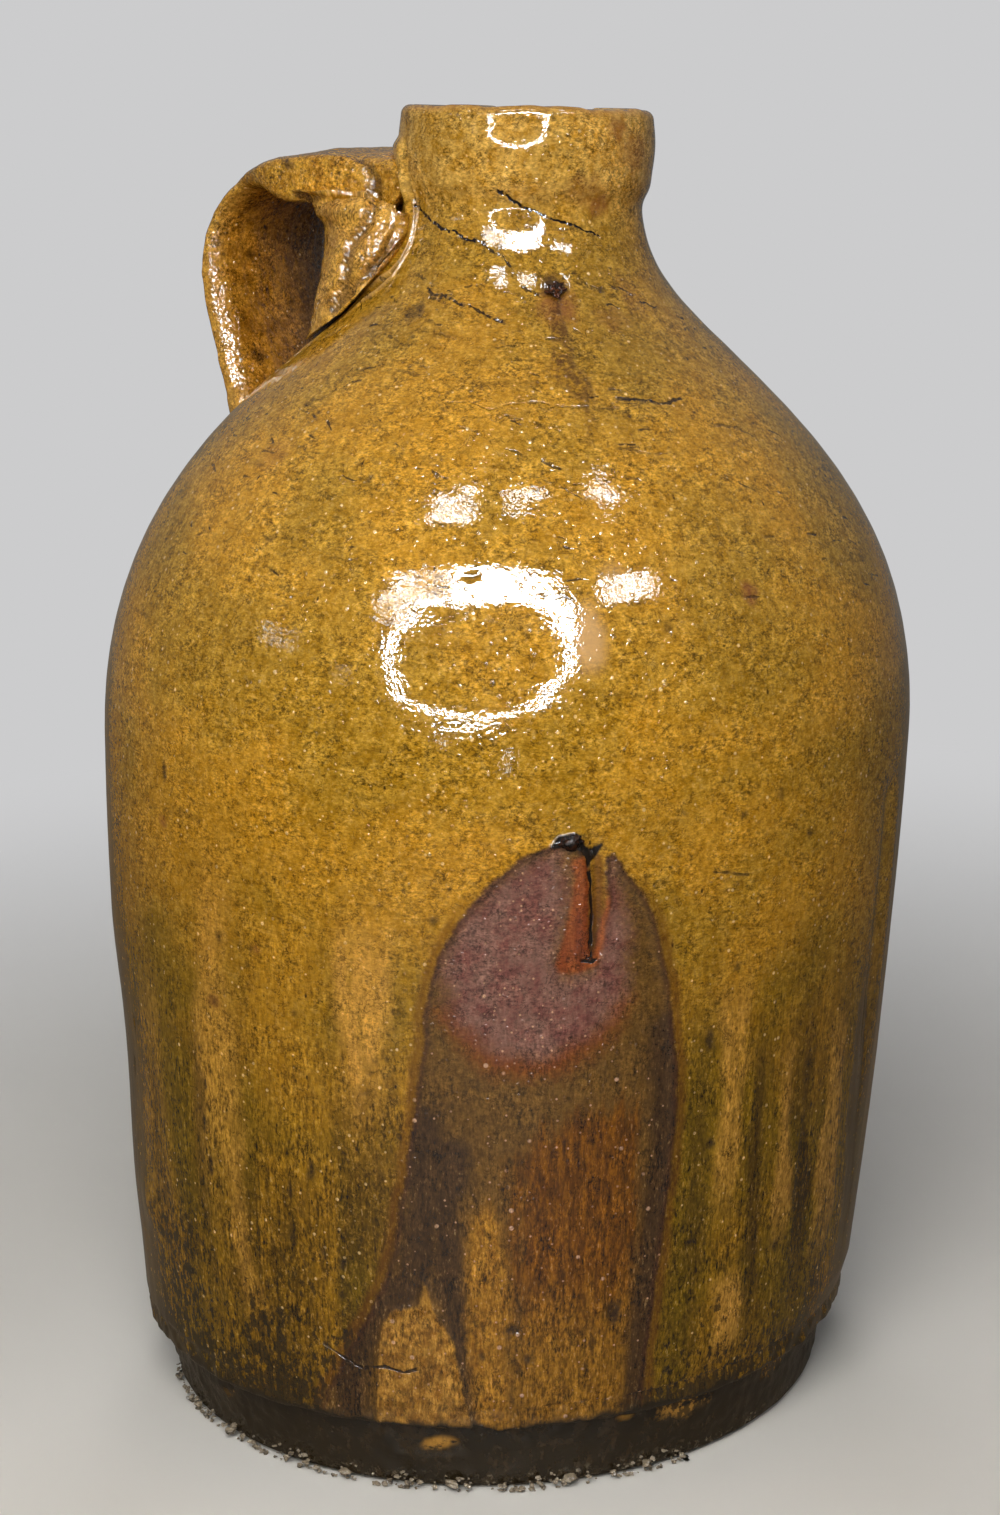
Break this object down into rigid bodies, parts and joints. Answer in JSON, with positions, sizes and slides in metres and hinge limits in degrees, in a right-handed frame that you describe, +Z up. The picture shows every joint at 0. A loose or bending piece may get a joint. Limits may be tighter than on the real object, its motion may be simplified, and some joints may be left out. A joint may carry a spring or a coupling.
{
  "type": "stoneware crock jug",
  "caption": "Wheel-thrown stoneware jug with a straight collar mouth and a pulled strap handle on its shoulder, glazed in runny ash-brown.",
  "frame": {"origin": "centre of the foot, on the plane that the jug stands on", "axes": "+Z up from the foot; -X towards the handle. Above the heel the jug leans 3 degrees out of plumb, towards 38 degrees from +X to +Y"},
  "size_m": [0.1805, 0.1803, 0.286],
  "materials": {
    "body_glaze": "gloss",
    "handle_glaze": "gloss",
    "wad_glaze": "gloss",
    "slag": "gloss",
    "grit": "matte"
  },
  "bodies": {
    "root": {"jug_body": "body_glaze", "strap_handle": "handle_glaze", "root_wad": "wad_glaze", "tail_wad": "wad_glaze", "kiln_drips": "slag", "foot_grit": "grit"}
  },
  "joints": []
}
